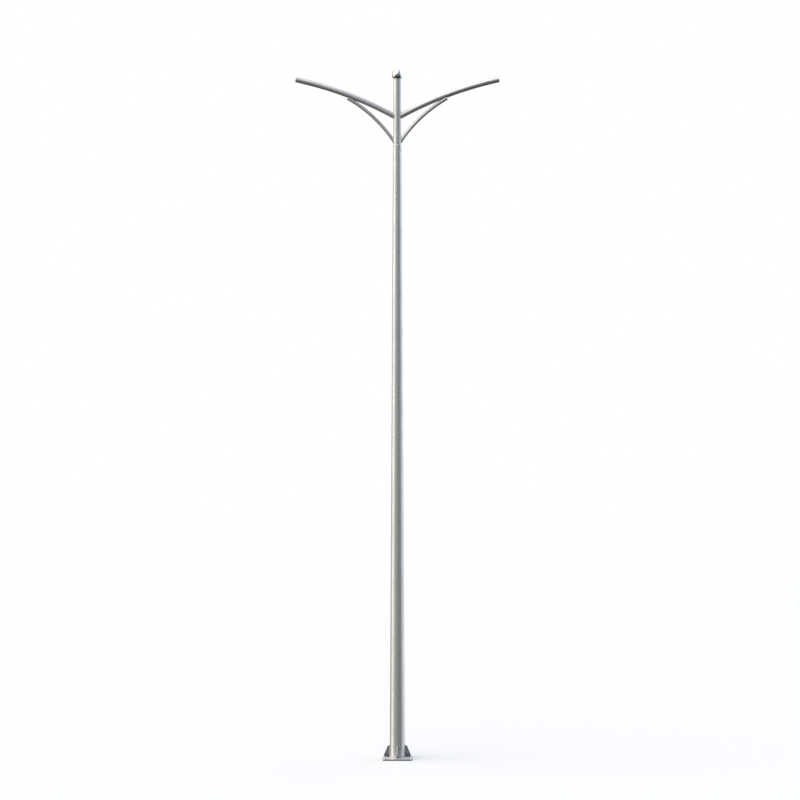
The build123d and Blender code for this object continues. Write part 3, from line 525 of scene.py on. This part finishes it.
def laminate_board():
    """Brown phenolic laminate with its cloth just showing."""
    board = Finish("board_laminate", (0.25, 0.115, 0.05), 0.38)
    fibres = board.use("brushing", "Height", Stretch=(1400.0, 60.0, 90.0))
    cross = board.use("brushing", "Height", Stretch=(90.0, 60.0, 1400.0))
    clouds = board.use("mottle", "Value", Scale=30.0, Fine=0.3)
    wear = board.use("wear", "Mask", Radius=0.001, Scale=250.0)
    board.tint(board.limit(board.product(fibres, cross), 0.18, 0.34), (0.36, 0.19, 0.09), 0.5)
    board.tint(board.limit(clouds, 0.4, 0.7), (0.17, 0.075, 0.035), 0.6)
    board.tint(wear, (0.42, 0.26, 0.15), 0.6)
    board.roughen(board.limit(clouds, 0.4, 0.7), 0.16)
    board.bump(fibres, 0.00006, 0.4)
    board.bump(cross, 0.00006, 0.4)
    return board.done()


def moulded_plastic(name, colour, rubbed, roughness):
    """Fine-textured moulding, a little shiny where it is handled."""
    plastic = Finish(name, colour, roughness)
    grain = plastic.use("mottle", "Value", Scale=2200.0, Fine=0.5)
    clouds = plastic.use("mottle", "Value", Scale=50.0, Fine=0.2)
    wear = plastic.use("wear", "Mask", Radius=0.0008, Scale=300.0)
    plastic.tint(plastic.limit(clouds, 0.4, 0.7), tuple(0.86 * part for part in colour), 0.7)
    plastic.tint(wear, rubbed, 0.5)
    plastic.roughen(plastic.limit(clouds, 0.4, 0.7), 0.10)
    plastic.roughen(wear, -0.12)
    plastic.bump(grain, 0.00008, 0.35)
    return plastic.done()


def plain_brass():
    """Turned brass, dulled a little between its bright edges."""
    brass = Finish("brass", (0.62, 0.44, 0.17), 0.30, metallic=1.0)
    lines = brass.use("brushing", "Height", Stretch=(1500.0, 1500.0, 1500.0))
    clouds = brass.use("mottle", "Value", Scale=160.0, Fine=0.3)
    wear = brass.use("wear", "Mask", Radius=0.0006, Scale=500.0)
    brass.tint(brass.limit(clouds, 0.38, 0.66), (0.40, 0.27, 0.11), 0.7)
    brass.tint(wear, (0.82, 0.64, 0.30), 0.6)
    brass.roughen(brass.limit(clouds, 0.35, 0.7), 0.18)
    brass.bump(lines, 0.00003, 0.4)
    return brass.done()


def make_finishes():
    """Each material slot's finish, and two painted-light copies of the coat for the plates at the foot: a
    darker, bluer one for the gussets (painted shade) and a brighter one for the base plate (painted
    brightness).
    """
    return {
        "silver_coat": silver_coat(),
        # Gussets: the coat darker and bluer all over as painted shade, with bluish painted contact shade on
        # their upright faces.
        "silver_coat_plate": silver_coat(
            "silver_coat_plate", shade=(0.53, 0.55, 0.60), soil_top=0.13, soil_and_shade_colour=(0.07, 0.073, 0.082)),
        # Base plate: the coat brighter as a painted highlight for its top, with near-black painted shade on its
        # upright edges.
        "silver_coat_base_painted_light": silver_coat(
            "silver_coat_base_painted_light", shade=(1.12, 1.12, 1.11), bright=0.20, soil_top=0.05,
            soil_and_shade_colour=(0.035, 0.034, 0.032)),
        "polished_stainless": polished_stainless(),
        "stainless_fasteners": plain_steel(
            "stainless_fasteners", (0.62, 0.62, 0.63), 0.28, (1200.0, 1200.0, 90.0)),
        "zinc_plate": yellow_zinc(),
        "seal_rubber": cellular_rubber(),
        "board_laminate": laminate_board(),
        "breaker_plastic": moulded_plastic("breaker_plastic", (0.66, 0.67, 0.67), (0.78, 0.78, 0.78), 0.42),
        "toggle_plastic": moulded_plastic("toggle_plastic", (0.025, 0.025, 0.028), (0.09, 0.09, 0.09), 0.26),
        "terminal_plastic": moulded_plastic(
            "terminal_plastic", (0.035, 0.035, 0.035), (0.11, 0.11, 0.11), 0.46),
        "brass": plain_brass(),
    }


def coat_frame(finishes):
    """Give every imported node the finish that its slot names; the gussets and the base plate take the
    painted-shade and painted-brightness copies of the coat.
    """
    slots = {part["node"]: part["material_slot"] for part in frame["record"]["subparts"]}
    painted_light_copies = {name: "silver_coat_plate" for name in slots if name.startswith("gusset")}
    painted_light_copies["base_plate"] = "silver_coat_base_painted_light"
    for name, piece in frame["nodes"].items():
        piece.data.materials.clear()
        piece.data.materials.append(finishes[painted_light_copies.get(name, slots[name])])


# ---------------------------------------------------------------- weld beads
def far_edge(name, axis):
    """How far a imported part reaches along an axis."""
    return round(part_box(name)[1]["xyz".index(axis)], 6)


plate_top = far_edge("base_plate", "z")
shaft_base_radius = far_edge("shaft_bottom", "x")
shaft_slope = 0.005338078                  # radius lost for each metre of height
shaft_top_height = far_edge("shaft_top", "z")
shaft_top_radius = 0.0600
splice_heights = (far_edge("shaft_bottom", "z"), far_edge("shaft_middle", "z"))
head_radius = far_edge("head_tube", "x")
head_top = far_edge("head_tube", "z")
seat_ring_top = far_edge("seat_ring", "z")
gusset_half = far_edge("gusset_right", "y")
gusset_nose = far_edge("gusset_right", "x")
gusset_top = far_edge("gusset_right", "z")
gusset_notch = 0.015
arm_radius = 0.03805
arm_arc = (2.491921, 4.340455, 5.140)      # right arm's centre line: centre across, centre height, radius
brace_radius = 0.02415
brace_arc = (1.618667, 7.465420, 1.888)    # right brace's centre line, in the same way
brace_end_across = 0.684

ripple_step = 0.0014
points_per_ripple = 3
measuring_steps = 60                       # steps along a curve when its length is measured
ripple = 0.10                              # how much a ripple swells the bead, as a share of its radius
dressed_ripple = 0.03                      # the same on a bead that is filed down
splice_ripple = 0.015
seam_ripple = 0.012
foot_bead, foot_bead_lift = 0.0055, 0.0005
gusset_bead = 0.0038
gusset_bead_sink = 0.999                   # share of the shaft's radius at which the gussets' beads run
splice_bead, splice_bead_sink = 0.006, 0.0052
seam_bead, seam_bead_sink = 0.0042, 0.0036
seam_step, seam_gap = 0.012, 0.001
seam_directions = (30, 165, 30)            # degrees round from the right, for each length of the shaft
seat_bead, seat_bead_lift = 0.0034, 0.0003
rim_bead, rim_bead_sink = 0.0028, 0.0022
cap_bead, cap_bead_sink = 0.0024, 0.0016
arm_root_bead = 0.0048
brace_foot_bead = 0.0040
brace_head_bead = 0.0034


def shaft_radius(height):
    """Outer radius of the tapered shaft at a height."""
    return shaft_base_radius - shaft_slope * (height - plate_top)


def stepped(place, start, end, step=ripple_step):
    """Even steps along a curve, given as a function of one number."""
    rough = [Vector(place(start + (end - start) * turn / measuring_steps))
             for turn in range(measuring_steps + 1)]
    length = sum((after - before).length for before, after in zip(rough, rough[1:]))
    count = points_per_ripple * max(2, round(length / step / points_per_ripple))
    return [Vector(place(start + (end - start) * turn / count)) for turn in range(count + 1)]


def through(corners, step=ripple_step):
    """Even steps along straight runs between corners."""
    path = []
    for before, after in zip(corners, corners[1:]):
        before, after = Vector(before), Vector(after)
        path += stepped(lambda part, a=before, b=after: a.lerp(b, part), 0, 1, step)[:-1]
    return path + [Vector(corners[-1])]


merge_below = 1e-6


def face_outwards():
    """Merge the doubles of the piece in hand and turn all its faces outwards."""
    bpy.ops.object.mode_set(mode="EDIT")
    bpy.ops.mesh.select_all(action="SELECT")
    bpy.ops.mesh.remove_doubles(threshold=merge_below)
    bpy.ops.mesh.normals_make_consistent(inside=False)
    bpy.ops.object.mode_set(mode="OBJECT")


same_point = 1e-5                          # ends of a path that are nearer than this are one point
tapered_end = 0.5                          # radius of an open bead at its ends, as a share of the full one
smooth_below = 75                          # degrees between faces up to which a bead is shaded smooth


def weld_bead(name, path, radius, closed=False, swell=ripple):
    """Rippled weld bead along a path; the joint hides the part of it that is sunk in the steel."""
    bpy.ops.object.select_all(action="DESELECT")
    bpy.ops.curve.primitive_nurbs_path_add()
    bead = bpy.context.object
    bead.name = bead.data.name = name
    bead.data.splines.clear()
    if closed and (path[0] - path[-1]).length < same_point:
        path = path[:-1]
    run = bead.data.splines.new("POLY")
    run.points.add(len(path) - 1)
    run.use_cyclic_u = closed
    for step, (point, place) in enumerate(zip(run.points, path)):
        point.co = (*place, 1.0)
        point.radius = 1.0 + swell * (1 - step % points_per_ripple)
    if not closed:
        run.points[0].radius = run.points[-1].radius = tapered_end
    bead.data.bevel_depth = radius
    bead.data.bevel_resolution = 2
    bead.data.use_fill_caps = not closed
    bead.data.twist_smooth = 0
    bpy.ops.object.convert(target="MESH")
    bpy.ops.object.transform_apply(location=True, rotation=True, scale=True)
    face_outwards()
    bead = bpy.context.object
    bpy.ops.object.shade_smooth_by_angle(angle=radians(smooth_below))
    bead.data.materials.clear()
    bead.data.materials.append(finishes["silver_coat"])
    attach(bead, "post")
    return bead


def moved_copy(piece, name, move):
    """Copy of a piece, with its own mesh, which is turned or mirrored about the post's centre line."""
    bpy.ops.object.select_all(action="DESELECT")
    piece.select_set(True)
    bpy.context.view_layer.objects.active = piece
    bpy.ops.object.duplicate()
    copy = bpy.context.object
    copy.name = copy.data.name = name
    copy.data.transform(move)
    face_outwards()


def ring(height, radius):
    """Level circle round the post."""
    return stepped(lambda turn: (radius * cos(turn), radius * sin(turn), height), 0, 2 * pi)


def arc_point(arc, radius, slope, turn):
    """Point on a bent tube's skin: at a slope along its centre line, and a turn about it from its top."""
    across, height, bend = arc
    out = bend + radius * cos(turn)
    return Vector((across - out * sin(slope), radius * sin(turn), height + out * cos(slope)))


halvings = 40


def solve(gap, low, high):
    """Value between two limits at which a gap changes sign."""
    falling = gap(low) > 0
    for _ in range(halvings):
        middle = (low + high) / 2
        if (gap(middle) > 0) == falling:
            low = middle
        else:
            high = middle
    return (low + high) / 2


inside_head, outside_head = -0.02, 0.30    # across, on either side of a bent tube's foot
clear_of_arm = 0.25                        # how far back from its end a brace is clear of the arm
least_turn = 0.2                           # a turn about the brace at which its end is inside the arm
corner_gap = 0.01                          # turn left for the corner between saddle and end line
end_reach = 0.03                           # how far on either side of the joint its end line is looked for


def foot_path(arc, radius):
    """Saddle line where a bent tube meets the head tube."""
    across, _, bend = arc

    def place(turn):
        slope = solve(lambda along: hypot(*arc_point(arc, radius, along, turn)[:2]) - head_radius,
                      asin((across - inside_head) / bend), asin((across - outside_head) / bend))
        return arc_point(arc, radius, slope, turn)

    return stepped(place, 0, 2 * pi)


def brace_head_path():
    """Line where the brace's end meets the arm's underside: a saddle, closed across the brace's end."""
    across, height, bend = brace_arc
    end = asin((across - brace_end_across) / bend)
    start = asin((across - brace_end_across + clear_of_arm) / bend)

    def off_arm(point):
        return hypot(hypot(point.x - arm_arc[0], point.z - arm_arc[1]) - arm_arc[2], point.y) - arm_radius

    def saddle_point(turn):
        slope = solve(lambda along: off_arm(arc_point(brace_arc, brace_radius, along, turn)), start, end)
        return arc_point(brace_arc, brace_radius, slope, turn)

    widest = solve(lambda turn: off_arm(arc_point(brace_arc, brace_radius, end, turn)), least_turn, pi)
    saddle = stepped(saddle_point, -widest + corner_gap, widest - corner_gap)
    side = brace_radius * sin(widest)
    drop = bend + brace_radius * cos(widest)

    def end_point(part):
        aside = side * (1 - 2 * part)

        def place(out):
            return Vector((across - out * sin(end), aside, height + out * cos(end)))

        return place(solve(lambda out: off_arm(place(out)), drop - end_reach, drop + end_reach))

    return saddle + stepped(end_point, 0, 1)[1:]


def weld_foot():
    """Bead round the shaft's foot, and the beads that hold the four gussets to the plate and the shaft."""
    weld_bead("weld_shaft_to_plate", ring(plate_top + foot_bead_lift, shaft_base_radius + foot_bead_lift),
              foot_bead, closed=True)
    root, low = shaft_base_radius + gusset_notch, plate_top + gusset_notch
    near_root = shaft_radius(low) * gusset_bead_sink
    on_plate = through(((root, gusset_half, plate_top), (gusset_nose, gusset_half, plate_top),
                        (gusset_nose, -gusset_half, plate_top), (root, -gusset_half, plate_top)))
    on_shaft = through(((near_root, gusset_half, low),
                        (shaft_radius(gusset_top) * gusset_bead_sink, gusset_half, gusset_top),
                        (shaft_radius(gusset_top), -gusset_half, gusset_top), (near_root, -gusset_half, low)))
    for name, path in (("weld_gusset_to_plate", on_plate), ("weld_gusset_to_shaft", on_shaft)):
        right = weld_bead(name + "_right", path, gusset_bead)
        for side, turn in (("rear", 90), ("left", 180), ("front", 270)):
            moved_copy(right, f"{name}_{side}", Matrix.Rotation(radians(turn), 4, "Z"))


def weld_shaft():
    """Nearly flush beads of the shaft: round its two splices, and up the rolled seam of each length."""
    for number, height in enumerate(splice_heights, 1):
        weld_bead(f"weld_shaft_splice_{number}", ring(height, shaft_radius(height) - splice_bead_sink),
                  splice_bead, closed=True, swell=splice_ripple)
    ends = (plate_top, *splice_heights, shaft_top_height)
    for part, low, high, turn in zip(("bottom", "middle", "top"), ends, ends[1:], seam_directions):
        line = [((shaft_radius(z) - seam_bead_sink) * cos(radians(turn)),
                 (shaft_radius(z) - seam_bead_sink) * sin(radians(turn)), z)
                for z in (low + seam_gap, high - seam_gap)]
        weld_bead(f"weld_seam_{part}", through(line, seam_step), seam_bead, swell=seam_ripple)


def weld_head():
    """Beads of the head: seat ring, shaft rim, cap, and the feet and ends of both arms and braces."""
    weld_bead("weld_seat_ring", ring(seat_ring_top, head_radius + seat_bead_lift), seat_bead, closed=True)
    weld_bead("weld_shaft_rim", ring(shaft_top_height, shaft_top_radius - rim_bead_sink), rim_bead,
              closed=True, swell=dressed_ripple)
    weld_bead("weld_cap", ring(head_top, head_radius - cap_bead_sink), cap_bead,
              closed=True, swell=dressed_ripple)
    for name, path, radius in (("weld_arm_root", foot_path(arm_arc, arm_radius), arm_root_bead),
                               ("weld_brace_foot", foot_path(brace_arc, brace_radius), brace_foot_bead),
                               ("weld_brace_head", brace_head_path(), brace_head_bead)):
        right = weld_bead(name + "_right", path, radius, closed=True)
        moved_copy(right, name + "_left", Matrix.Scale(-1, 4, (1, 0, 0)))


# ---------------------------------------------------------------- main
bpy.ops.object.select_all(action="DESELECT")
stand_camera()
light_studio()
lay_floor()
gather_effects()
finishes = make_finishes()
coat_frame(finishes)
weld_foot()
weld_shaft()
weld_head()
